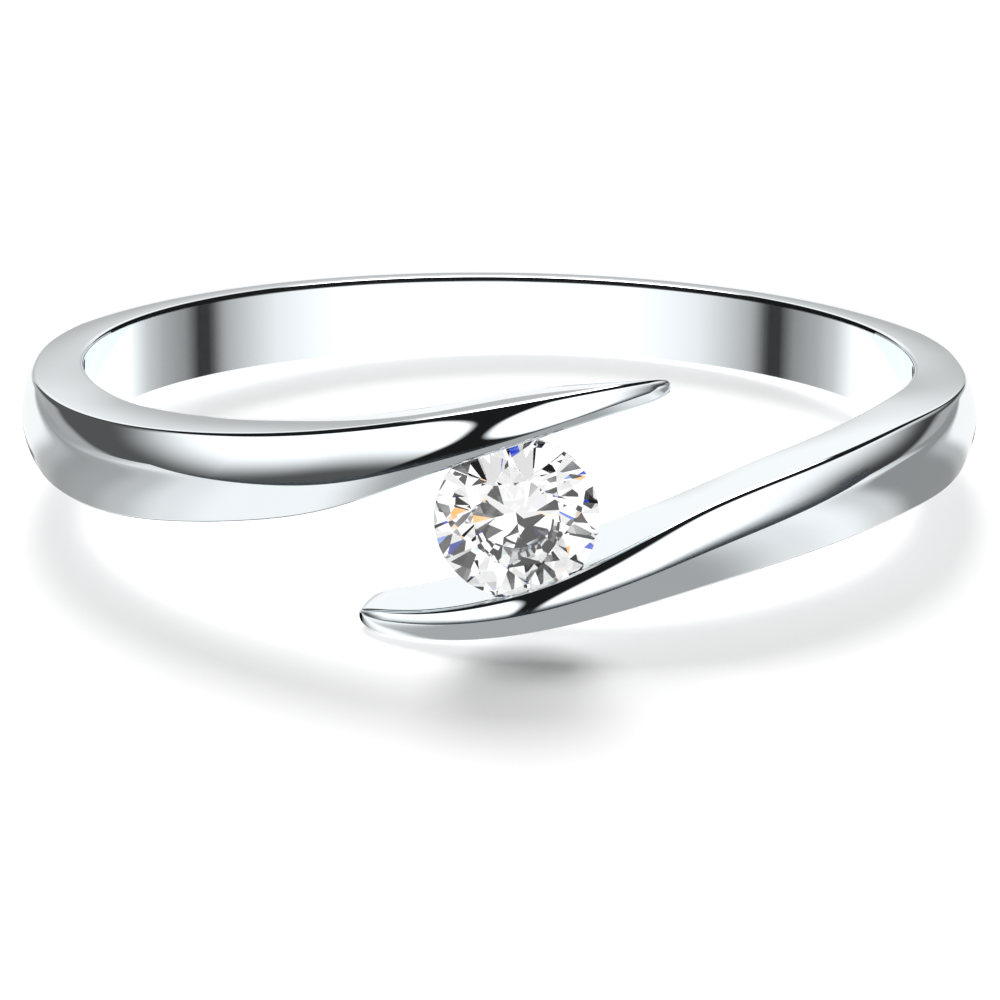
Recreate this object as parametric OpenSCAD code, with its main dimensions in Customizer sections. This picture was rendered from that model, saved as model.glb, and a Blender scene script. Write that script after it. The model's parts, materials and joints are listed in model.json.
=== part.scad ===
// Bypass ring with one round brilliant stone. The band is one casting whose two
// arms pass each other at the front and hold the stone by its girdle between them.
// Millimetres. The ring lies on its side on the surface Z = 0, with the stone at -Y.

/* [Band] */
// Inner diameter, the size of the finger
finger_d = 17.3; // [15.5:0.1:20.5]
// Width of the plain shank at its inner edges
shank_w = 1.83; // [1.4:0.01:2.4]
// How much narrower the shank is at its outer edges
shank_draft = 0.11; // [0:0.01:0.3]
// Thickness of the shank between its inner and outer edges
shank_t = 1.0; // [0.8:0.05:1.4]
// How far the rounded outer face stands out from its edges, as a share of its height
dome_share = 0.14; // [0.05:0.01:0.2]
// Break of the inner edges
inner_break = 0.1; // [0.04:0.01:0.15]

/* [Arms] */
// Angle by which each arm's tip passes the stone's axis
tip_angle = 18.1; // [14:0.1:19]
// Length of the rounded end of a tip, as an angle
tip_round = 3.6; // [2:0.1:4]

/* [Stone] */
// Diameter of the stone at the girdle
stone_d = 3.0; // [2.9:0.05:3.1]
// Distance from the finger's axis to the girdle's middle
girdle_r = 9.95; // [9.9:0.01:10]
// Height of the crown above the girdle
crown_h = 0.44; // [0.35:0.01:0.55]
// Depth of the pavilion below the girdle
pavilion_h = 1.18; // [1:0.01:1.2]
// Width of the table, as a share of the diameter
table_share = 0.56; // [0.5:0.01:0.65]
// Thickness of the girdle at the facets' corners
girdle_t = 0.12; // [0.1:0.01:0.16]
// Turn of the facets about the stone's axis
facet_turn = 31.5; // [0:0.5:45]
// Room left round the stone in its seat
seat_gap = 0.03; // [0.02:0.005:0.06]

/* [Rest] */
// Lean of the lying ring away from the stone, as its balance sets it
lean_back = 4.43; // [0:0.01:8]
// Lean of the lying ring to the lower arm's shoulder
lean_side = 1.39; // [0:0.01:4]

/* [Hidden] */

// One arm, from the side of the ring over the stone to its tip. The angle is taken
// round the finger's axis from the stone, and the heights from the ring's mid-plane.
// The other arm is the same one turned half round the stone's axis.
top_in_0 = shank_w / 2;
top_out_0 = shank_w / 2 - shank_draft / 2;
edge_0 = finger_d / 2 + shank_t;
// angle, top inner edge, top outer edge, bottom inner edge, bottom outer edge, outer edges' radius
arm_rows = [
    [-90, top_in_0, top_out_0, -top_in_0, -top_out_0, edge_0],
    [-80, top_in_0, top_out_0, -top_in_0, -0.88, 9.72],
    [-70, 0.915, 0.87, -0.93, -0.92, 9.80],
    [-60, 0.92, 0.88, -0.93, -0.94, 9.88],
    [-50, 0.99, 0.93, -0.82, -0.90, 9.90],
    [-40, 1.11, 1.06, -0.64, -0.71, 9.93],
    [-30, 1.28, 1.25, -0.37, -0.43, 9.96],
    [-20, 1.49, 1.51, 0.06, 0.00, 10.03],
    [-10, 1.76, 1.85, 0.54, 0.73, 10.15],
    [0, 2.06, 2.19, 1.09, 1.39, 10.17],
    [10, 2.20, 2.40, 1.61, 1.84, 9.87],
    [20, 2.12, 2.40, 1.93, 2.05, 9.25]
];
row_step = 10;
TOP_IN = 1;
TOP_OUT = 2;
BOTTOM_IN = 3;
BOTTOM_OUT = 4;
EDGE_R = 5;

// Smooth curve through one column of the rows at angle a
function row(i) = arm_rows[min(max(i, 0), len(arm_rows) - 1)];
function cubic(p, q, r, s, t) =
    q + t * ((r - p) / 2 + t * ((2 * p - 5 * q + 4 * r - s) / 2 + t * (3 * q - p - 3 * r + s) / 2));
function along(a, column) =
    let (u = max(0, (a - arm_rows[0][0]) / row_step), i = floor(u), t = u - i)
    cubic(row(i - 1)[column], row(i)[column], row(i + 1)[column], row(i + 2)[column], t);

// Section of the arm at angle a: radius and height of its corners and its domed face
finger_r = finger_d / 2;
bore_stock = 0.06;
break_least_flat = 0.1;
dome_steps = 10;
function dome_point(a, i) =
    let (u = i / dome_steps,
         high = along(a, TOP_OUT),
         low = along(a, BOTTOM_OUT),
         out = dome_share * (high - low) * 4 * u * (1 - u))
    [along(a, EDGE_R) + out, high + (low - high) * u];
// Near the tip the inner side is too low for the whole break at both edges
function break_drop(a) =
    let (height = along(a, TOP_IN) - along(a, BOTTOM_IN))
    min(inner_break + bore_stock, (1 - break_least_flat) * height / 2);
function section(a) = concat(
    [[finger_r - bore_stock, along(a, TOP_IN) - break_drop(a)],
     [finger_r + inner_break, along(a, TOP_IN)]],
    [for (i = [0:dome_steps]) dome_point(a, i)],
    [[finger_r + inner_break, along(a, BOTTOM_IN)],
     [finger_r - bore_stock, along(a, BOTTOM_IN) + break_drop(a)]]);

// The same section drawn in towards its middle, for the rounded end of a tip. Its
// height closes nearly like a circle and its depth later, so the outer face stays whole.
function mid(points) = [for (k = [0, 1]) (min([for (p = points) p[k]]) + max([for (p = points) p[k]])) / 2];
function shrunk(points, share) =
    let (c = mid(points))
    [for (p = points) [c[0] + (p[0] - c[0]) * pow(share, depth_closing),
                       c[1] + (p[1] - c[1]) * pow(share, height_closing)]];

// Stations along the arm: angle and depth of the section
cap_steps = 7;
cap_least = 0.12;
depth_closing = 0.4;
height_closing = 0.7;
arm_step = 2.5;
shank_step = 5;
arm_from = -60;
cap_from = tip_angle - tip_round;
stations = concat(
    [for (i = [0:cap_steps])
        let (t = 90 * (1 - i / cap_steps))
        [cap_from + tip_round * sin(t), max(cap_least, cos(t))]],
    [for (a = [floor(cap_from / arm_step) * arm_step - arm_step:-arm_step:arm_from]) [a, 1]],
    [for (a = [arm_from - shank_step:-shank_step:-180]) [a, 1]]);

function place(p, a) = [p[0] * sin(a), -p[0] * cos(a), p[1]];
function turned(p) = [-p[0], p[1], -p[2]];
function reversed(list) = [for (i = [len(list) - 1:-1:0]) list[i]];
arm_rings = [for (s = stations) [for (p = shrunk(section(s[0]), s[1])) place(p, s[0])]];
other_rings = [for (i = [len(arm_rings) - 2:-1:0]) reversed([for (p = arm_rings[i]) turned(p)])];
rings = concat(arm_rings, other_rings);

// A closed solid through the rings, each quad split along the same diagonal
module sweep(rings) {
    n = len(rings[0]);
    last = len(rings) - 1;
    walls = [for (i = [0:last - 1], j = [0:n - 1])
        let (a = i * n + j, b = i * n + (j + 1) % n)
        each [[a, b + n, a + n], [a, b, b + n]]];
    ends = [[for (j = [n - 1:-1:0]) j], [for (j = [0:n - 1]) last * n + j]];
    polyhedron([for (r = rings) each r], concat(walls, ends));
}

// The stone's own axis: up is away from the finger
module on_stone_axis() {
    translate([0, -girdle_r, 0]) rotate([90, 0, 0]) children();
}

// Round brilliant: table, 8 stars, 8 kites, 16 upper halves, 16 lower halves, 8 mains
stone_r = stone_d / 2;
table_r = stone_r * table_share;
half_girdle = girdle_t / 2;
star_share = 0.5;
lower_half_share = 0.76;
kite_angle = 45;
half_kite = kite_angle / 2;
sixteenth_mid = half_kite / 2;
star_r = table_r + (stone_r - table_r) * star_share;
star_z = half_girdle + crown_h * (stone_r - star_r * cos(half_kite)) / (stone_r - table_r);
lower_r = stone_r * (1 - lower_half_share);
lower_z = -half_girdle - pavilion_h + pavilion_h / stone_r * lower_r * cos(half_kite);
upper_slope = (star_z - half_girdle) / ((stone_r - star_r) * cos(sixteenth_mid));
lower_slope = (-half_girdle - lower_z) / ((stone_r - lower_r) * cos(sixteenth_mid));
arc_steps = 3;
arc_count = 16 * arc_steps;

function round_point(r, a, z) = [r * cos(a), r * sin(a), z];
// How far the round girdle reaches past the chord of its sixteenth at angle a
function past_chord(a) =
    let (local = a - floor(a / half_kite + 0.0001) * half_kite)
    stone_r * (cos(local - sixteenth_mid) - cos(sixteenth_mid));

module brilliant() {
    table_i = 0;
    star_i = 8;
    upper_i = 16;
    low_i = upper_i + arc_count;
    main_i = low_i + arc_count;
    culet_i = main_i + 8;
    arc_a = 360 / arc_count;
    points = concat(
        [for (k = [0:7]) round_point(table_r, k * kite_angle, half_girdle + crown_h)],
        [for (k = [0:7]) round_point(star_r, (k + 0.5) * kite_angle, star_z)],
        [for (j = [0:arc_count - 1])
            round_point(stone_r, j * arc_a, half_girdle - upper_slope * past_chord(j * arc_a))],
        [for (j = [0:arc_count - 1])
            round_point(stone_r, j * arc_a, -half_girdle + lower_slope * past_chord(j * arc_a))],
        [for (k = [0:7]) round_point(lower_r, (k + 0.5) * kite_angle, lower_z)],
        [[0, 0, -half_girdle - pavilion_h]]);
    table = [[for (k = [7:-1:0]) table_i + k]];
    stars = [for (k = [0:7]) [table_i + k, table_i + (k + 1) % 8, star_i + k]];
    kites = [for (k = [0:7])
        [table_i + k, star_i + k, upper_i + 2 * k * arc_steps, star_i + (k + 7) % 8]];
    upper_halves = [for (k = [0:7], side = [0, 1])
        let (first = (2 * k + side) * arc_steps)
        concat([star_i + k], [for (j = [arc_steps:-1:0]) upper_i + (first + j) % arc_count])];
    girdle = [for (j = [0:arc_count - 1])
        let (m = (j + 1) % arc_count)
        [upper_i + j, upper_i + m, low_i + m, low_i + j]];
    lower_halves = [for (k = [0:7], side = [0, 1])
        let (first = (2 * k + side) * arc_steps)
        concat([main_i + k], [for (j = [0:arc_steps]) low_i + (first + j) % arc_count])];
    mains = [for (k = [0:7])
        [culet_i, main_i + (k + 7) % 8, low_i + 2 * k * arc_steps, main_i + k]];
    polyhedron(points, concat(table, stars, kites, upper_halves, girdle, lower_halves, mains));
}

// The room that the stone takes in the arms: its turned outline with the gap round it
module seat() {
    r = stone_r + seat_gap;
    g = half_girdle + seat_gap;
    table_z = g + crown_h;
    rotate_extrude($fn = 96)
        polygon([[0, -g - pavilion_h], [r, -g], [r, g], [table_r + seat_gap, table_z], [0, table_z]]);
}

// Where the ring lies: its lowest point on the surface, its box centred on the origin
function leant_y(p) = p[1] * cos(lean_back) + p[2] * sin(lean_back);
function leant_z(p) =
    (p[2] * cos(lean_back) - p[1] * sin(lean_back)) * cos(lean_side) - p[0] * sin(lean_side);
lowest = min([for (r = rings, p = r) leant_z(p)]);
rearmost = max([for (r = rings, p = r) leant_y(p)]);
table_top = girdle_r + girdle_t / 2 + crown_h;
foremost = min([for (k = [0:7]) leant_y([0, -table_top, table_r * sin(facet_turn + k * kite_angle)])]);
module lying() {
    translate([0, -(rearmost + foremost) / 2, -lowest]) rotate([-lean_back, lean_side, 0]) children();
}

module band() {
    color([0.82, 0.85, 0.86]) lying() difference() {
        sweep(rings);
        rotate(arm_step / 2) cylinder(r = finger_r, h = 4 * shank_w, center = true, $fn = 180);
        on_stone_axis() seat();
    }
}

module stone() {
    color([0.93, 0.96, 0.98]) lying() on_stone_axis() rotate(facet_turn) brilliant();
}

band();
stone();
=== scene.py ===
import json
from math import asin, atan2, cos, pi, radians, sin

import bmesh
import bpy
import numpy as np
from mathutils import Matrix, Vector


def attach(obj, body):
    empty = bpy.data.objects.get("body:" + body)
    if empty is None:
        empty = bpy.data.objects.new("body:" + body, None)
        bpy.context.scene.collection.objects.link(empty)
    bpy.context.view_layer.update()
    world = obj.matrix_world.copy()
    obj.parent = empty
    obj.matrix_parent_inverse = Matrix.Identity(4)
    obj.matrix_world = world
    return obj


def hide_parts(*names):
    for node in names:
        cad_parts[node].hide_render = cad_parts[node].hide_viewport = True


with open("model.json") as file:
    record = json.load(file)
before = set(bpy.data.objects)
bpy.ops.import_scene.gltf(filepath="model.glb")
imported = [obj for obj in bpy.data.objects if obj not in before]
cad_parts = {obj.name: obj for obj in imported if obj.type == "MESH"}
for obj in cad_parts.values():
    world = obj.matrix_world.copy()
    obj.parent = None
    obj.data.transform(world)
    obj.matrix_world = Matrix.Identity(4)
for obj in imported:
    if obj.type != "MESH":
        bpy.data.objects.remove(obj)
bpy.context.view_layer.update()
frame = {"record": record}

# The band: one casting of silver, plated with rhodium and mirror polished. A plain
# shank runs round the finger, and its two ends become arms that pass each other at the
# front. Both arms are one shape, the second turned half round the stone's axis.
mm = 0.001
bore = frame["record"]["mounts"][0]
finger_r = bore["dims"]["r_mm"]
bore_axis = bore["axis"]
# the ring rests on its side, leant back until it meets the surface at three points; the
# bore says where the finger's axis then is, and each piece is drawn upright round that
# axis, in millimetres, and laid down with it
lean_back = asin(bore_axis[1])
lean_side = atan2(bore_axis[0], bore_axis[2])
laid_down = (
    Matrix.Translation(bore["pos_m"])
    @ Matrix.Rotation(lean_side, 4, "Y")
    @ Matrix.Rotation(-lean_back, 4, "X")
    @ Matrix.Diagonal((mm, mm, mm, 1))
)


def make_object(name, verts, faces):
    mesh = bpy.data.meshes.new(name)
    mesh.from_pydata([tuple(v) for v in verts], [], faces)
    mesh.validate()
    obj = bpy.data.objects.new(name, mesh)
    bpy.context.scene.collection.objects.link(obj)
    return obj


# sizes in millimetres and degrees round the finger's axis, counted from the stone
shank_w = 1.83
shank_draft = 0.11
shank_t = 1.0
tip_angle = 18.1
tip_round = 3.6
depth_closing = 0.4
height_closing = 0.7
narrowest = 0.02
inner_round = 0.1
outer_round = 0.08
inner_round_limit = 0.42
outer_round_limit = 0.2
face_crown = 0.018
dome_share = 0.14
crease_turn = 32
wall_steps = 12
face_steps = 16
dome_steps = 26
inner_round_steps = 9
outer_round_steps = 7
tip_stations = 25
arm_stations = 300
top_in_0 = shank_w / 2
top_out_0 = shank_w / 2 - shank_draft / 2
edge_0 = finger_r + shank_t
# angle from the stone, top inner edge, top outer edge, bottom inner edge, bottom outer
# edge, outer edges' radius
arm_rows = np.array([
    (-90, top_in_0, top_out_0, -top_in_0, -top_out_0, edge_0),
    (-80, top_in_0, top_out_0, -top_in_0, -0.88, 9.72),
    (-70, 0.915, 0.87, -0.93, -0.92, 9.80),
    (-60, 0.92, 0.88, -0.93, -0.94, 9.88),
    (-50, 0.99, 0.93, -0.82, -0.90, 9.90),
    (-40, 1.11, 1.06, -0.64, -0.71, 9.93),
    (-30, 1.28, 1.25, -0.37, -0.43, 9.96),
    (-20, 1.49, 1.51, 0.06, 0.00, 10.03),
    (-10, 1.76, 1.85, 0.54, 0.73, 10.15),
    (0, 2.06, 2.19, 1.09, 1.39, 10.17),
    (10, 2.20, 2.40, 1.61, 1.84, 9.87),
    (20, 2.12, 2.40, 1.93, 2.05, 9.25),
])
row_angles = arm_rows[:, 0]


def curve_slopes(values):
    """Slopes at the rows of the smooth curve through them, flat at the shank's end."""
    count = len(values)
    step = row_angles[1] - row_angles[0]
    rule = np.zeros((count, count))
    right = np.zeros(count)
    rule[0, 0] = 1
    for i in range(1, count - 1):
        rule[i, i - 1:i + 2] = (1, 4, 1)
        right[i] = 3 * (values[i + 1] - values[i - 1]) / step
    rule[-1, -2:] = (1, 2)
    right[-1] = 3 * (values[-1] - values[-2]) / step
    return np.linalg.solve(rule, right)


def along(angles, column):
    """One column of the rows at these angles, on a curve with no kink in its bend."""
    values = arm_rows[:, column]
    slopes = curve_slopes(values)
    step = row_angles[1] - row_angles[0]
    place = np.clip((angles - row_angles[0]) / step, 0, len(values) - 1.000001)
    i = place.astype(int)
    t = place - i
    rise = values[i + 1] - values[i]
    first, second = slopes[i] * step, slopes[i + 1] * step
    return values[i] + t * (first + t * (3 * rise - 2 * first - second + t * (first + second - 2 * rise)))


def eased(count):
    """Steps from 0 to 1, closer at both ends, so that an edge's shade stays in a thin strip."""
    return (1 - np.cos(np.linspace(0, pi, count))) / 2


def rounded(before, corner, after, reach, steps):
    """Round arcs at the corners of many sections at once, reach away from each corner."""
    to_before = before - corner
    to_after = after - corner
    to_before /= np.linalg.norm(to_before, axis=1, keepdims=True)
    to_after /= np.linalg.norm(to_after, axis=1, keepdims=True)
    half = np.arccos(np.clip((to_before * to_after).sum(1), -1, 1)) / 2
    middle = to_before + to_after
    middle /= np.linalg.norm(middle, axis=1, keepdims=True)
    centre = corner + middle * (reach / np.cos(half))[:, None]
    radius = reach * np.tan(half)
    start = corner + to_before * reach[:, None] - centre
    end = corner + to_after * reach[:, None] - centre
    turn = pi - 2 * half
    points = []
    for t in np.linspace(0, 1, steps):
        a = (np.sin((1 - t) * turn) / np.sin(turn))[:, None]
        b = (np.sin(t * turn) / np.sin(turn))[:, None]
        points.append(centre + a * start + b * end)
    return points


def arm_sections(angles):
    """Closed sections (radius, height) at the angles, from the bore's middle up and round."""
    top_in, top_out, low_in, low_out, edge = (along(angles, k) for k in range(1, 6))
    slope_top = (top_out - top_in) / (edge - finger_r - inner_round)
    slope_low = (low_out - low_in) / (edge - finger_r - inner_round)
    bore_r = np.full_like(angles, finger_r)
    a = np.stack([bore_r, top_in - slope_top * inner_round], 1)
    b = np.stack([edge, top_out], 1)
    c = np.stack([edge, low_out], 1)
    d = np.stack([bore_r, low_in - slope_low * inner_round], 1)
    height = top_out - low_out
    in_reach = np.minimum(inner_round, inner_round_limit * (a[:, 1] - d[:, 1]))
    out_reach = np.minimum(outer_round, outer_round_limit * height)

    def dome(u):
        out = dome_share * height * 4 * u * (1 - u)
        return np.stack([edge + out, top_out - height * u], 1)

    def face(start, end, crown):
        return [start + (end - start) * t + (0, crown * 4 * t * (1 - t)) for t in eased(face_steps)[1:-1]]

    u_edge = out_reach / height
    wall_top = a + (0, -1) * in_reach[:, None]
    wall_low = d + (0, 1) * in_reach[:, None]
    wall = [wall_low + (wall_top - wall_low) * t for t in eased(wall_steps)]
    half_wall = wall_steps // 2
    near_b = b + (a - b) * (out_reach / np.linalg.norm(a - b, axis=1))[:, None]
    near_d = d + (c - d) * (in_reach / np.linalg.norm(c - d, axis=1))[:, None]
    points = wall[half_wall:-1] + rounded(d, a, b, in_reach, inner_round_steps)
    points += face(points[-1], near_b, face_crown)
    points += rounded(a, b, dome(u_edge), out_reach, outer_round_steps)
    points += [dome(u_edge + (1 - 2 * u_edge) * t) for t in eased(dome_steps)[1:-1]]
    points += rounded(dome(1 - u_edge), c, d, out_reach, outer_round_steps)
    points += face(points[-1], near_d, -face_crown)
    points += rounded(c, d, a, in_reach, inner_round_steps) + wall[1:half_wall]
    return np.stack(points, 1)


def band_mesh():
    """Both arms and the shank as one closed skin, in millimetres round the finger's axis."""
    cap_from = tip_angle - tip_round
    cap_turn = np.linspace(pi / 2, 0, tip_stations)[:-1]
    angles = np.concatenate([cap_from + tip_round * np.sin(cap_turn),
                             np.linspace(cap_from, -180, arm_stations)])
    narrowing = np.concatenate([np.maximum(narrowest, np.cos(cap_turn)), np.ones(arm_stations)])
    shares = np.stack([narrowing ** depth_closing, narrowing ** height_closing], 1)
    sections = arm_sections(angles)
    middles = (sections.min(1) + sections.max(1)) / 2
    sections = middles[:, None] + (sections - middles[:, None]) * shares[:, None]
    turn = np.radians(angles)[:, None]
    radius, height = sections[..., 0], sections[..., 1]
    arm = np.stack([radius * np.sin(turn), -radius * np.cos(turn), height], 2)
    other = arm[-2::-1, ::-1] * (-1, 1, -1)
    rings = np.concatenate([arm, other])
    stations, around = rings.shape[:2]
    faces = []
    for i in range(stations - 1):
        for j in range(around):
            k = (j + 1) % around
            faces.append((i * around + j, i * around + k, (i + 1) * around + k, (i + 1) * around + j))
    faces.append(tuple(range(around - 1, -1, -1)))
    faces.append(tuple((stations - 1) * around + j for j in range(around)))
    return rings.reshape(-1, 3), faces


# the groove in each arm's stone side, cut on the stone's own axis with a little room
girdle_r = 9.95
stone_r = 1.5
table_r = 0.84
crown_h = 0.44
pavilion_h = 1.18
half_girdle = 0.06
seat_gap = 0.03
seat_steps = 96
stone_axis = Matrix.Translation((0, -girdle_r, 0)) @ Matrix.Rotation(pi / 2, 4, "X")


def revolved(outline, steps):
    """A closed body turned round Z; the outline's first and last points lie on the axis."""
    verts = [(0, 0, outline[0][1]), (0, 0, outline[-1][1])]
    rim = outline[1:-1]
    for i in range(steps):
        turn = 2 * pi * i / steps
        verts += [(r * cos(turn), r * sin(turn), z) for r, z in rim]
    faces = []
    count = len(rim)
    for i in range(steps):
        here, there = 2 + i * count, 2 + (i + 1) % steps * count
        faces.append((0, there, here))
        faces += [(here + j, there + j, there + j + 1, here + j + 1) for j in range(count - 1)]
        faces.append((1, here + count - 1, there + count - 1))
    return verts, faces


def outward(obj):
    skin = bmesh.new()
    skin.from_mesh(obj.data)
    bmesh.ops.recalc_face_normals(skin, faces=skin.faces)
    skin.to_mesh(obj.data)
    skin.free()


seat_outline = [(0, -half_girdle - seat_gap - pavilion_h), (stone_r + seat_gap, -half_girdle - seat_gap),
                (stone_r + seat_gap, half_girdle + seat_gap),
                (table_r + seat_gap, half_girdle + seat_gap + crown_h),
                (0, half_girdle + seat_gap + crown_h)]
band = make_object("ring_band", *band_mesh())
seat = make_object("seat_cutter", *revolved(seat_outline, seat_steps))
seat.data.transform(stone_axis)
outward(band)
outward(seat)
cut = band.modifiers.new("seat", "BOOLEAN")
cut.operation = "DIFFERENCE"
cut.solver = "EXACT"
cut.object = seat
with_seat = bpy.data.meshes.new_from_object(band.evaluated_get(bpy.context.evaluated_depsgraph_get()))
band.modifiers.remove(cut)
band.data = with_seat
bpy.data.objects.remove(seat)
band.data.transform(laid_down)
band.data.shade_smooth()
band.data.set_sharp_from_angle(angle=radians(crease_turn))

# the plate: rhodium's slightly cold white, polished to a mirror
rhodium_colour = (0.87, 0.92, 0.945, 1)
rhodium_roughness = 0.03


def rhodium():
    metal = bpy.data.materials.new("polished rhodium")
    metal.use_nodes = True
    shader = metal.node_tree.nodes["Principled BSDF"]
    shader.inputs["Base Color"].default_value = rhodium_colour
    shader.inputs["Metallic"].default_value = 1
    shader.inputs["Roughness"].default_value = rhodium_roughness
    return metal


band.data.materials.append(rhodium())
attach(band, "root")
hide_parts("band")

# The stone: one round brilliant of colourless topaz, cut and polished in flat facets
# and held by its girdle in the two grooves, with nothing else under or over it.
facet_groups = 8
facet_turn = 31.5
star_share = 0.5
lower_half_share = 0.76
kite_turn = 2 * pi / facet_groups
star_r = table_r + (stone_r - table_r) * star_share
star_z = half_girdle + crown_h * (stone_r - star_r * cos(kite_turn / 2)) / (stone_r - table_r)
main_r = stone_r * (1 - lower_half_share)
main_z = -half_girdle - pavilion_h + pavilion_h / stone_r * main_r * cos(kite_turn / 2)
upper_slope = (star_z - half_girdle) / ((stone_r - star_r) * cos(kite_turn / 4))
lower_slope = (-half_girdle - main_z) / ((stone_r - main_r) * cos(kite_turn / 4))
arc_steps = 8
# points this close are one (millimetres), facets this level are one (degrees)
join_distance = 0.0005
flat_within = 0.05
# real topaz bends light by 1.62; a higher index gives a finer pattern, nearer to the photo's
topaz_index = 1.95


def facet_group():
    """One group of facets: table's wedge, star, kite, upper and lower halves, main, girdle."""
    def at(r, turn, z):
        return (r * cos(turn), r * sin(turn), z)

    def past_chord(turn):
        local = turn % (kite_turn / 2)
        return stone_r * (cos(local - kite_turn / 4) - cos(kite_turn / 4))

    table_z = half_girdle + crown_h
    table_0, table_1 = at(table_r, 0, table_z), at(table_r, kite_turn, table_z)
    star, star_before = at(star_r, kite_turn / 2, star_z), at(star_r, -kite_turn / 2, star_z)
    main, main_before = at(main_r, kite_turn / 2, main_z), at(main_r, -kite_turn / 2, main_z)
    culet = (0, 0, -half_girdle - pavilion_h)
    turns = [kite_turn * i / (2 * arc_steps) for i in range(2 * arc_steps + 1)]
    upper = [at(stone_r, t, half_girdle - upper_slope * past_chord(t)) for t in turns]
    lower = [at(stone_r, t, -half_girdle + lower_slope * past_chord(t)) for t in turns]
    facets = [[(0, 0, table_z), table_0, table_1], [table_1, table_0, star],
              [table_0, star_before, upper[0], star],
              [star] + upper[:arc_steps + 1], [star] + upper[arc_steps:],
              [main] + lower[arc_steps::-1], [main] + lower[:arc_steps - 1:-1],
              [culet, main, lower[0], main_before]]
    facets += [[upper[i], lower[i], lower[i + 1], upper[i + 1]] for i in range(2 * arc_steps)]
    verts = [corner for facet in facets for corner in facet]
    faces, first = [], 0
    for facet in facets:
        faces.append(tuple(range(first, first + len(facet))))
        first += len(facet)
    return verts, faces


def topaz():
    clear = bpy.data.materials.new("clear topaz")
    clear.use_nodes = True
    tree = clear.node_tree
    tree.nodes.clear()
    glass = tree.nodes.new("ShaderNodeBsdfGlass")
    glass.inputs["Color"].default_value = (1, 1, 1, 1)
    glass.inputs["Roughness"].default_value = 0
    glass.inputs["IOR"].default_value = topaz_index
    out = tree.nodes.new("ShaderNodeOutputMaterial")
    tree.links.new(glass.outputs[0], out.inputs["Surface"])
    return clear


def facets_round_the_axis():
    """A tree that turns one group of facets round the stone's axis and joins the copies."""
    tree = bpy.data.node_groups.new("facets round the axis", "GeometryNodeTree")
    tree.interface.new_socket("Geometry", in_out="INPUT", socket_type="NodeSocketGeometry")
    tree.interface.new_socket("Groups", in_out="INPUT", socket_type="NodeSocketInt")
    tree.interface.new_socket("Turn", in_out="INPUT", socket_type="NodeSocketFloat")
    tree.interface.new_socket("Join distance", in_out="INPUT", socket_type="NodeSocketFloat")
    tree.interface.new_socket("Material", in_out="INPUT", socket_type="NodeSocketMaterial")
    tree.interface.new_socket("Geometry", in_out="OUTPUT", socket_type="NodeSocketGeometry")
    add, link = tree.nodes.new, tree.links.new
    given = add("NodeGroupInput").outputs
    points = add("GeometryNodePoints")
    link(given["Groups"], points.inputs["Count"])
    share = add("ShaderNodeMath")
    share.operation = "DIVIDE"
    share.inputs[0].default_value = 2 * pi
    link(given["Groups"], share.inputs[1])
    angle = add("ShaderNodeMath")
    angle.operation = "MULTIPLY_ADD"
    link(add("GeometryNodeInputIndex").outputs[0], angle.inputs[0])
    link(share.outputs[0], angle.inputs[1])
    link(given["Turn"], angle.inputs[2])
    about_z = add("ShaderNodeCombineXYZ")
    link(angle.outputs[0], about_z.inputs["Z"])
    copies = add("GeometryNodeInstanceOnPoints")
    link(points.outputs[0], copies.inputs["Points"])
    link(given["Geometry"], copies.inputs["Instance"])
    link(about_z.outputs[0], copies.inputs["Rotation"])
    real = add("GeometryNodeRealizeInstances")
    link(copies.outputs[0], real.inputs[0])
    joined = add("GeometryNodeMergeByDistance")
    link(real.outputs[0], joined.inputs["Geometry"])
    link(given["Join distance"], joined.inputs["Distance"])
    finish = add("GeometryNodeSetMaterial")
    link(joined.outputs[0], finish.inputs["Geometry"])
    link(given["Material"], finish.inputs["Material"])
    link(finish.outputs[0], add("NodeGroupOutput").inputs[0])
    return tree


def evaluated_copy(obj, tree, **inputs):
    """The mesh that a geometry tree makes of an object, with its named inputs set."""
    modifier = obj.modifiers.new(tree.name, "NODES")
    modifier.node_group = tree
    for item in tree.interface.items_tree:
        if item.item_type == "SOCKET" and item.in_out == "INPUT" and item.name in inputs:
            modifier[item.identifier] = inputs[item.name]
    obj.update_tag()
    graph = bpy.context.evaluated_depsgraph_get()
    mesh = bpy.data.meshes.new_from_object(obj.evaluated_get(graph))
    obj.modifiers.remove(modifier)
    return mesh


stone = make_object("stone", *facet_group())
stone.data = evaluated_copy(stone, facets_round_the_axis(), **{
    "Groups": facet_groups, "Turn": radians(facet_turn),
    "Join distance": join_distance, "Material": topaz()})
# the table comes as a wedge from each group, which become one flat facet
cut_stone = bmesh.new()
cut_stone.from_mesh(stone.data)
bmesh.ops.dissolve_limit(cut_stone, angle_limit=radians(flat_within),
                         verts=cut_stone.verts, edges=cut_stone.edges)
bmesh.ops.recalc_face_normals(cut_stone, faces=cut_stone.faces)
cut_stone.to_mesh(stone.data)
cut_stone.free()
stone.data.transform(laid_down @ stone_axis)
stone.data.shade_flat()
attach(stone, "root")
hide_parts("stone")

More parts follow.
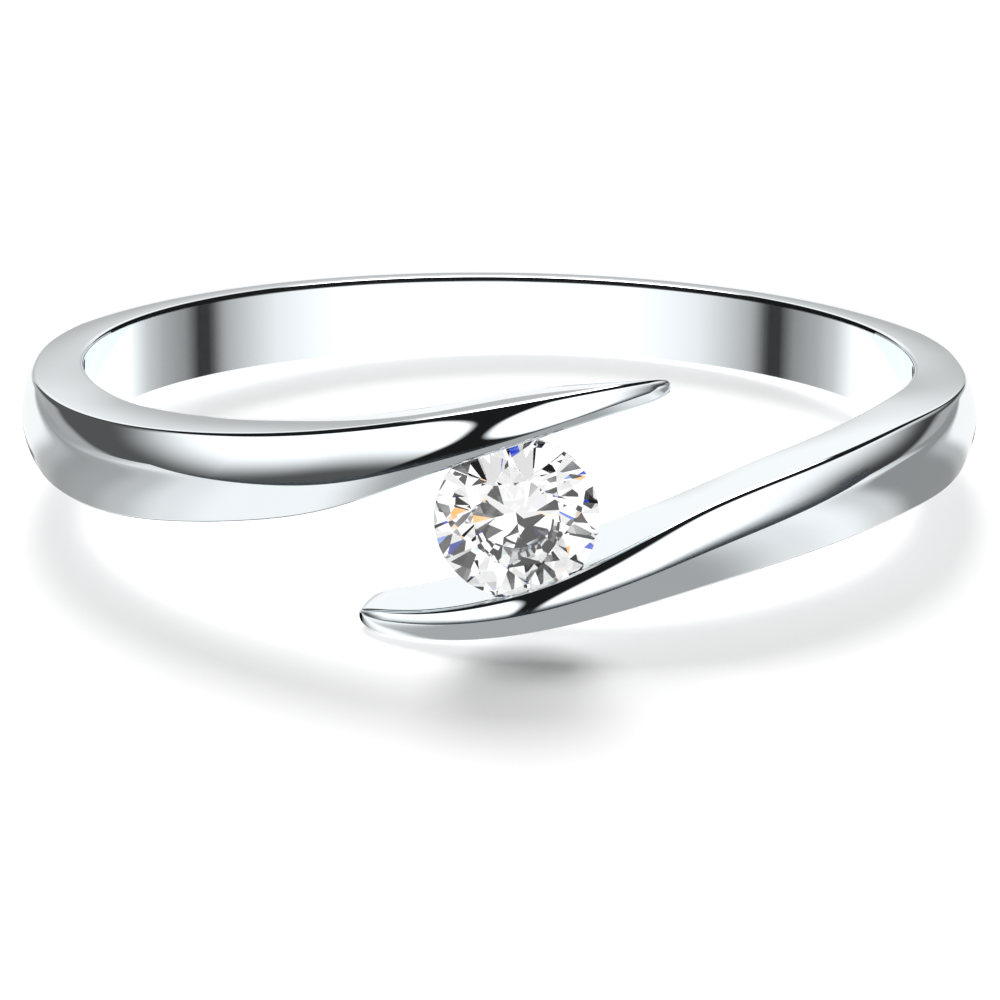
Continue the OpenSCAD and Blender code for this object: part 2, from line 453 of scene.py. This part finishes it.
# The camera: at the photograph's place, with a long lens a little above the ring. It
# looks at a point just under the surface, below the ring's middle, and is turned by less
# than a degree. Lengths are in metres from here on.
camera_place = Vector((-0.001874, -0.065773, 0.022205))
looked_at = Vector((-0.000005, 0, -0.000581))
camera_roll = -0.80
camera_data = bpy.data.cameras.new("camera")
camera_data.lens = 118.28
camera_data.clip_start = 0.005
camera_data.clip_end = 10
camera = bpy.data.objects.new("camera", camera_data)
camera.location = camera_place
level_view = (looked_at - camera_place).to_track_quat("-Z", "Y").to_matrix()
camera.rotation_euler = (level_view @ Matrix.Rotation(radians(camera_roll), 3, "Z")).to_euler()
bpy.context.scene.collection.objects.link(camera)
bpy.context.scene.camera = camera
bpy.context.scene.view_settings.view_transform = "Standard"

# The surface it lies on: a plain sheet of white paper. The stone shows it evenly lit, and
# the metal mirrors the next sheet in its place.
paper_reach = 0.9
paper_grey = 0.9
paper_glow = 0.95


def stage_material(name):
    """A new stage material, its node tree and its output's surface socket."""
    paint = bpy.data.materials.new(name)
    paint.use_nodes = True
    paint.node_tree.nodes.clear()
    out = paint.node_tree.nodes.new("ShaderNodeOutputMaterial")
    return paint, paint.node_tree, out.inputs["Surface"]


def tree_node(tree, kind, *values, **settings):
    """A node with its first sockets set or linked in turn; returns its first output."""
    made = tree.nodes.new(kind)
    for name, value in settings.items():
        setattr(made, name, value)
    for socket, value in zip(made.inputs, values):
        if hasattr(value, "is_output"):
            tree.links.new(value, socket)
        elif value is not None:
            socket.default_value = value
    return made.outputs[0]


def sheet_mesh(name, near, height):
    far = paper_reach
    corners = [(-far, near, height), (far, near, height), (far, far, height), (-far, far, height)]
    return make_object(name, corners, [(0, 1, 2, 3)])


sheet = sheet_mesh("white_sheet", -paper_reach, 0)
paint, tree, surface = stage_material("white sheet")
paper = tree_node(tree, "ShaderNodeBsdfDiffuse", (paper_grey, paper_grey, paper_grey, 1))
lit_paper = tree_node(tree, "ShaderNodeEmission", (1, 1, 1, 1), paper_glow)
through_stone = tree_node(tree, "ShaderNodeLightPath").node.outputs["Is Transmission Ray"]
tree.links.new(tree_node(tree, "ShaderNodeMixShader", through_stone, paper, lit_paper), surface)
sheet.data.materials.append(paint)
sheet.visible_glossy = False

# The mirrored sheet: what the polished metal shows of the surface. It is a glowing sheet with
# painted light and shade, in greys that follow the direction from the ring's middle. It ends
# close before the ring, so that the soft lights also show from below in the arms and the
# polish keeps its contrast.
mirrored_edge = -0.0135
mirrored_height = 0.00001
# brightness of the sheet by the direction from the ring's middle, in degrees from the front:
# painted light and shade, dim in front where the ring's shadow falls
painted_light_round_the_ring = ((-180, 1.0), (-99, 1.0), (-88, 0.5), (-78, 0.36), (-68, 0.4), (-60, 0.55),
                  (-50, 0.85), (-40, 1.0), (-26, 1.0), (-12, 0.42), (24, 0.4), (38, 0.85), (47, 1.0),
                  (56, 0.7), (63, 0.3), (76, 0.3), (84, 0.5), (92, 1.0), (180, 1.0))
# far from the ring the same shades lie further back: distances, share of the direction
spread_from, spread_to, spread_share = 0.01, 0.045, 0.6
# distances from the ring's middle between which a zone fades out
hollow_fade = (0.0081, 0.0086)
foot_shadow_fade = (0.0091, 0.0096)
bore_fade = (0.0094, 0.0098)
under_fade = (0.0096, 0.01)
# painted light under the band, and half the depth in which the painted shadow under the
# front's foot fades out
painted_light_under_band = 1.15
front_depth = 0.002
# a patch of painted shade on each side behind the shoulder: its middle, its fade, its outer end
patch_x, patch_y = 0.0101, 0.0048
patch_fade = (0.0034, 0.0042)
patch_end = (0.0107, 0.0111)
painted_patch_shade = 0.85


def only_mirrored(obj):
    obj.visible_camera = False
    obj.visible_diffuse = False
    obj.visible_transmission = False
    obj.visible_shadow = False


mirrored = sheet_mesh("mirrored_sheet", mirrored_edge, mirrored_height)
paint, tree, surface = stage_material("mirrored sheet")
place = tree_node(tree, "ShaderNodeTexCoord").node.outputs["Object"]
corners = tree_node(tree, "ShaderNodeSeparateXYZ", place).node.outputs


def tree_math(operation, a, b, c=None):
    """One reckoning step in the tree of the stage material that is being made."""
    return tree_node(tree, "ShaderNodeMath", a, b, c, operation=operation)


def faded(value, start, end, low, high):
    """A smooth change from low to high, in the same tree."""
    return tree_node(tree, "ShaderNodeMapRange", value, start, end, low, high,
                     interpolation_type="SMOOTHSTEP")


def pool(centre, fade):
    """1 near the centre, fading to 0 between the two distances."""
    away = tree_node(tree, "ShaderNodeVectorMath", place, centre, operation="DISTANCE")
    return faded(away.node.outputs["Value"], *fade, 1.0, 0.0)


def darkened(brightness, share):
    return tree_math("MULTIPLY", brightness, tree_math("SUBTRACT", 1.0, share))


middle = (0, 0, 0)
turned = tree_math("ARCTAN2", corners["X"], tree_math("MULTIPLY", corners["Y"], -1.0))
away = tree_node(tree, "ShaderNodeVectorMath", place, operation="LENGTH").node.outputs["Value"]
spread = tree_node(tree, "ShaderNodeMapRange", away, spread_from, spread_to, 1.0, spread_share)
turned = tree_math("MULTIPLY_ADD", tree_math("MULTIPLY", turned, spread), 0.5 / pi, 0.5)
ramp = tree.nodes.new("ShaderNodeValToRGB")
ramp.color_ramp.interpolation = "EASE"
for turn, value in painted_light_round_the_ring[1:-1]:
    ramp.color_ramp.elements.new(turn / 360 + 0.5)
for mark, (turn, value) in zip(ramp.color_ramp.elements, painted_light_round_the_ring):
    mark.position = turn / 360 + 0.5
    mark.color = (value, value, value, 1)
tree.links.new(turned, ramp.inputs[0])
grey = tree_node(tree, "ShaderNodeSeparateColor", ramp.outputs[0])
# painted light under the band and in the hollow, and a painted shadow under the foot of the
# band's front
grey = tree_math("MAXIMUM", grey, tree_math("MULTIPLY", pool(middle, under_fade), painted_light_under_band))
ahead = faded(corners["Y"], -front_depth, front_depth, 1.0, 0.0)
painted_foot_shadow = tree_math("MULTIPLY", pool(middle, foot_shadow_fade), ahead)
grey = darkened(grey, darkened(painted_foot_shadow, pool(middle, hollow_fade)))
# painted shade: a dark patch on each side behind the shoulder, none inside the bore's circle
off_middle = tree_math("ABSOLUTE", corners["X"], 0.0)
close = tree_node(tree, "ShaderNodeMapRange", off_middle, *patch_end, painted_patch_shade, 0.0)
close = darkened(close, pool(middle, bore_fade))
for side in (-1, 1):
    grey = darkened(grey, tree_math("MULTIPLY", pool((side * patch_x, patch_y, 0), patch_fade), close))
# the painted greys glow, lit by no lamp
shade_colour = tree_node(tree, "ShaderNodeCombineColor", grey, grey, grey)
tree.links.new(tree_node(tree, "ShaderNodeEmission", shade_colour, 1.0), surface)
mirrored.data.materials.append(paint)
only_mirrored(mirrored)

# The dark edge: a low strip of painted shade, standing for the sheet's edge in shadow, that
# stands where the mirrored sheet ends and grows taller to the right. It gives the arms their
# thin dark lines, and it is clear at its top.
edge_shade_colour = (0.03, 0.035, 0.04, 1)
dark_below = 0.1
edge_shares = (0, 0.15, 0.4, 0.7, 1)
# place along the strip, height
edge_tops = ((-0.03, 0.0011), (0.0052, 0.0013), (0.0075, 0.0023),
             (0.0135, 0.0042), (0.027, 0.006), (0.5, 0.08))


def grid_faces(rows, columns):
    """The quads between rows of points that have equal numbers of columns."""
    return [(k * columns + i, k * columns + i + 1, (k + 1) * columns + i + 1, (k + 1) * columns + i)
            for k in range(rows - 1) for i in range(columns - 1)]


def add_shares(obj, name, shares):
    obj.data.attributes.new(name, "FLOAT", "POINT").data.foreach_set("value", [float(x) for x in shares])


edge_verts = [(x, mirrored_edge, top * share) for share in edge_shares for x, top in edge_tops]
edge = make_object("dark_edge", edge_verts, grid_faces(len(edge_shares), len(edge_tops)))
add_shares(edge, "share", [share for share in edge_shares for top in edge_tops])
paint, tree, surface = stage_material("dark edge")
share = tree_node(tree, "ShaderNodeAttribute", attribute_name="share").node.outputs["Fac"]
dark = tree_node(tree, "ShaderNodeBsdfDiffuse", edge_shade_colour)
clear = tree_node(tree, "ShaderNodeBsdfTransparent")
veil = faded(share, dark_below, 1.0, 0.0, 1.0)
tree.links.new(tree_node(tree, "ShaderNodeMixShader", veil, dark, clear), surface)
edge.data.materials.append(paint)
only_mirrored(edge)

# The dark card: a curved card close inside the back of the hollow, which only the metal
# mirrors, as a painted dark reflection. It gives the inner wall its dark bands and its upper edge the dark
# line.
# Its sizes are in millimetres round the finger's axis.
card_gap = 0.1
card_r = finger_r - card_gap
card_heights = (-0.95, 0.76, 0.8, 1.3)
card_rim = 0.78
card_half_turn = 72
card_shade_colour = (0.01, 0.01, 0.01, 1)
# turn from the back, share of the mirrored light that the card takes away below its rim
card_shades = ((24, 0), (34, 0.2), (43.5, 0.62), (46.5, 0.97), (49, 0.97),
               (52, 0.75), (57, 0.62), (61, 0.45), (66, 0))
shade_turns, shade_shares = zip(*card_shades)
card_turns = np.radians(np.arange(-card_half_turn, card_half_turn + 1))
card_verts = [(card_r * sin(t), card_r * cos(t), h) for h in card_heights for t in card_turns]
card = make_object("card", card_verts, grid_faces(len(card_heights), len(card_turns)))
card.data.transform(laid_down)
add_shares(card, "shade", [1.0 if h > card_rim else np.interp(abs(np.degrees(t)), shade_turns, shade_shares)
                           for h in card_heights for t in card_turns])
paint, tree, surface = stage_material("dark card")
shade = tree_node(tree, "ShaderNodeAttribute", attribute_name="shade").node.outputs["Fac"]
# only the first mirroring meets the card, and only on its outer side
bounces = tree_node(tree, "ShaderNodeLightPath").node.outputs["Glossy Depth"]
shade = tree_math("MULTIPLY", shade, tree_math("LESS_THAN", bounces, 1.5))
outer_side = tree_node(tree, "ShaderNodeNewGeometry").node.outputs["Backfacing"]
shade = tree_math("MULTIPLY", shade, outer_side)
clear = tree_node(tree, "ShaderNodeBsdfTransparent")
dark = tree_node(tree, "ShaderNodeBsdfDiffuse", card_shade_colour)
tree.links.new(tree_node(tree, "ShaderNodeMixShader", shade, clear, dark), surface)
card.data.materials.append(paint)
only_mirrored(card)

# The room: dark, with a soft light on each side of the camera, a pale wall behind the
# ring and a round light overhead. Directions are an azimuth from the camera's side, to
# the right, and an elevation, both in degrees.
overhead_place = (0, 0.45, 1)
overhead_brightness = 5.2
room_darkness = 0.012
deeper_brightness = 0.85
ambient = 0.12
world = bpy.data.worlds.new("room")
bpy.context.scene.world = world
world.use_nodes = True
room = world.node_tree


def node(kind, *values, **settings):
    return tree_node(room, kind, *values, **settings)


def room_math(operation, *values):
    return node("ShaderNodeMath", *values, operation=operation)


def times(a, b):
    return room_math("MULTIPLY", a, b)


def plus(a, b):
    return room_math("ADD", a, b)


def greater(a, b):
    return room_math("MAXIMUM", a, b)


def either(share, first, second):
    """The first value at a share of 0, the second at 1."""
    return plus(times(plus(1.0, times(share, -1.0)), first), times(share, second))


def step(value, start, end, low=0.0, high=1.0):
    """A smooth change from low to high as the value goes from start to end."""
    return node("ShaderNodeMapRange", value, start, end, low, high, interpolation_type="SMOOTHSTEP")


direction = room.nodes.new("ShaderNodeTexCoord").outputs["Generated"]
axes = node("ShaderNodeSeparateXYZ", direction).node.outputs
azimuth = times(room_math("ARCTAN2", axes["X"], times(axes["Y"], -1.0)), 180 / pi)
elevation = times(room_math("ARCSINE", axes["Z"]), 180 / pi)
off_camera = room_math("ABSOLUTE", azimuth)


def soft_light(across, middle, left_width, right_width, height, half_height, roundness, blur):
    """A lit oval, 1 inside and 0 outside, with its own width on either side of the middle."""
    off = plus(across, -middle)
    side = greater(times(off, -1 / left_width), times(off, 1 / right_width))
    up = room_math("ABSOLUTE", times(plus(elevation, -height), 1 / half_height))
    reach = plus(room_math("POWER", side, roundness), room_math("POWER", up, roundness))
    return step(reach, 1 - blur, 1 + blur, low=1.0, high=0.0)


# both lights fade towards the horizon, which lies higher towards the ring's sides, and
# keep a dim glow below it there
horizon = step(off_camera, 98.0, 122.0, high=5.0)
above = plus(elevation, times(horizon, -1.0))
below = times(step(above, -2.0, 2.0, low=0.4, high=0.0), step(off_camera, 96.0, 106.0))
near_camera = step(off_camera, 0.0, 50.0, low=34.0, high=-3.0)
far_left = times(room_math("MINIMUM", plus(azimuth, 70.0), 0.0), 0.6)
left_height = plus(above, plus(near_camera, far_left))
fading_left = greater(below, step(left_height, -15.0, 19.0, low=0.08, high=1.3))
left_oval = soft_light(azimuth, middle=-70.0, left_width=88.0, right_width=58.0,
                       height=3.0, half_height=38.0, roundness=3.0, blur=0.14)
left_box = times(left_oval, fading_left)
far_right = greater(below, step(above, 2.0, 27.0, low=0.04))
fading_right = either(step(azimuth, 50.0, 85.0), 1.25, far_right)
right_oval = soft_light(azimuth, middle=45.0, left_width=46.0, right_width=108.0,
                        height=-1.0, half_height=39.0, roundness=2.5, blur=0.14)
right_box = times(right_oval, fading_right)
wall_oval = soft_light(off_camera, middle=180.0, left_width=23.0, right_width=23.0,
                       height=10.0, half_height=32.0, roundness=4.0, blur=0.3)
back_wall = times(wall_oval, step(elevation, 1.0, 17.0, low=0.5, high=1.02))
to_overhead = tuple(Vector(overhead_place).normalized())
facing = node("ShaderNodeVectorMath", direction, to_overhead, operation="DOT_PRODUCT")
overhead = times(step(facing.node.outputs["Value"], 0.925, 0.95), overhead_brightness)
in_metal = plus(plus(left_box, right_box), plus(back_wall, plus(overhead, room_darkness)))

# the stone sees a bright room with dark stripes and a few coloured cards
stripes = plus(times(azimuth, radians(12)), times(elevation, radians(3)))
stripe_wave = room_math("SINE", plus(stripes, radians(120)))
in_stone = step(stripe_wave, -0.7, -0.2, low=0.02, high=1.3)
card_wave = room_math("SINE", plus(times(azimuth, radians(5)), times(elevation, radians(-9))))
card_colours = ((0.0, (1, 0.5, 0.15)), (0.004, (1, 1, 1)), (0.984, (1, 1, 1)), (0.988, (0.4, 0.7, 1)),
                (0.995, (0.02, 0.05, 0.55)))
cards = room.nodes.new("ShaderNodeValToRGB")
for mark_place, colour in card_colours[1:-1]:
    cards.color_ramp.elements.new(mark_place)
for mark, (mark_place, colour) in zip(cards.color_ramp.elements, card_colours):
    mark.position = mark_place
    mark.color = (*colour, 1)
room.links.new(plus(times(card_wave, 0.5), 0.5), cards.inputs[0])

# the metal sees the lights, what it mirrors twice is evenly bright, and paper is lit dimly
kind = room.nodes.new("ShaderNodeLightPath").outputs
in_metal = either(room_math("GREATER_THAN", kind["Glossy Depth"], 1.5), in_metal, deeper_brightness)
outside_stone = either(kind["Is Diffuse Ray"], in_metal, ambient)
brightness = either(kind["Is Transmission Ray"], outside_stone, in_stone)
tint = room.nodes.new("ShaderNodeMix")
tint.data_type = "RGBA"
tint_share, no_tint, card_tint = tint.inputs[0], tint.inputs[6], tint.inputs[7]
no_tint.default_value = (1, 1, 1, 1)
room.links.new(kind["Is Transmission Ray"], tint_share)
room.links.new(cards.outputs[0], card_tint)
background = room.nodes["Background"]
room.links.new(tint.outputs[2], background.inputs["Color"])
room.links.new(brightness, background.inputs["Strength"])

# The key lights: soft and behind the ring, one for the band's shadow and two for the
# stone's, which is dark close to the arm and fades towards the camera.
key_lights = (
    # name, direction towards the light, energy, spread in degrees, what casts its shadow
    ("band_key", (-0.03, 1.2, 1.0), 2.45, 27, band),
    ("stone_key", (0.0, 0.65, 1.0), 1.75, 26, stone),
    ("low_key", (0.03, 1.3, 1.0), 1.1, 22, stone),
)
for name, towards, energy, spread, blocker in key_lights:
    lamp = bpy.data.objects.new(name, bpy.data.lights.new(name, "SUN"))
    lamp.data.energy = energy
    lamp.data.angle = radians(spread)
    lamp.rotation_euler = Vector(towards).to_track_quat("Z", "Y").to_euler()
    lamp.visible_glossy = False
    lamp.visible_transmission = False
    bpy.context.scene.collection.objects.link(lamp)
    casts = bpy.data.collections.new(name + " blockers")
    casts.objects.link(blocker)
    lamp.light_linking.blocker_collection = casts
